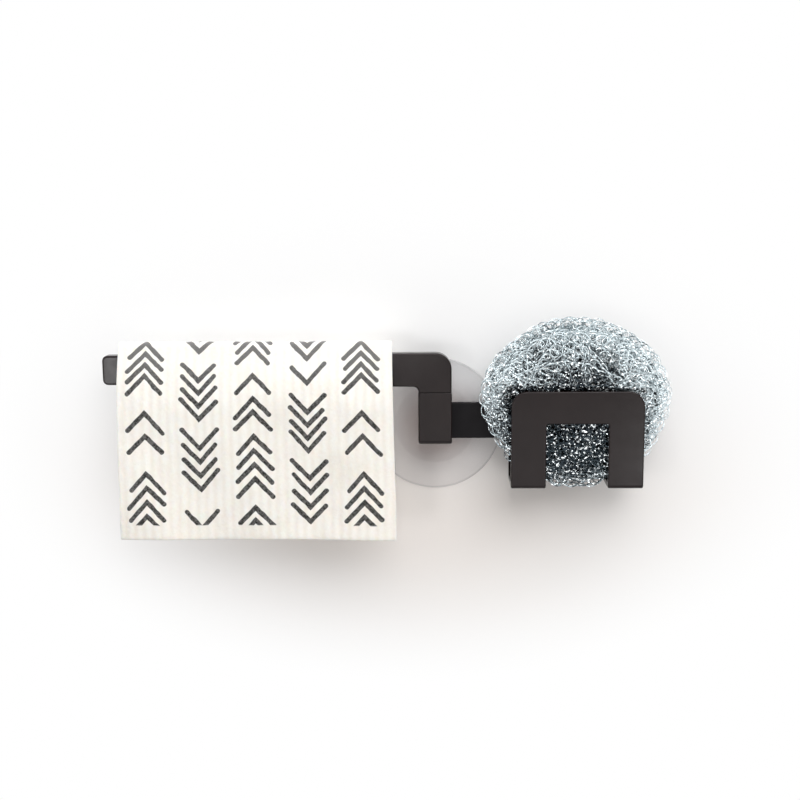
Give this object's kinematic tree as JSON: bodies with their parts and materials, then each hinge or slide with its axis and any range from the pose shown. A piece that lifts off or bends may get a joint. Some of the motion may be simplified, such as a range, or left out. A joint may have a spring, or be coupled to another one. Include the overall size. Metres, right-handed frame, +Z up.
{
  "type": "sponge holder",
  "caption": "Wall-hung kitchen holder on a suction cup: a side bar carries a folded dishcloth and a notched cradle holds a wire scourer.",
  "frame": {"origin": "centre of the suction cup's flat face, on the wall", "axes": "+Y into the wall, +Z up, +X to the right as seen from the front; the holder stands out towards -Y"},
  "size_m": [0.3511, 0.0518, 0.1351],
  "materials": {
    "clear_pvc": "clear soft PVC, slightly milky",
    "knob_plastic": "moulded hard plastic",
    "strap_plastic": "fine matt moulded texture",
    "screw_steel": "zinc plated",
    "charcoal_plastic": "satin moulded plastic, charcoal",
    "sponge_cloth": "ribbed cellulose sponge cloth with a charcoal chevron print",
    "scourer_wire": "loose ball of bright galvanised spiral wire"
  },
  "bodies": {
    "cup": {"suction_cup": "clear_pvc"},
    "knob": {"cup_knob": "knob_plastic"},
    "holder": {"link_strap": "strap_plastic", "hub_screws": "screw_steel", "mount_hub": "charcoal_plastic"},
    "arm": {"cloth_arm": "charcoal_plastic"},
    "cloth": {"dishcloth": "sponge_cloth"},
    "cradle": {"sponge_cradle": "charcoal_plastic"},
    "scourer": {"scourer": "scourer_wire"}
  },
  "joints": [
    {"name": "level_turn", "type": "hinge", "parent": "cup", "child": "knob", "pos_m": [0, 0, 0], "axis": [0, 1, 0], "range_deg": [-20, 20]},
    {"name": "holder_lift", "type": "slide", "parent": "knob", "child": "holder", "axis": [0, 0, 1], "range_m": [0, 0.018]},
    {"name": "arm_lift", "type": "slide", "parent": "holder", "child": "arm", "axis": [0, 0, 1], "range_m": [0, 0.022]},
    {"name": "cloth_lift", "type": "slide", "parent": "arm", "child": "cloth", "axis": [0, 0, 1], "range_m": [0, 0.07]},
    {"name": "cradle_slide", "type": "slide", "parent": "holder", "child": "cradle", "axis": [1, 0, 0], "range_m": [0, 0.04]},
    {"name": "scourer_lift", "type": "slide", "parent": "cradle", "child": "scourer", "axis": [0, 0, 1], "range_m": [0, 0.06]}
  ]
}
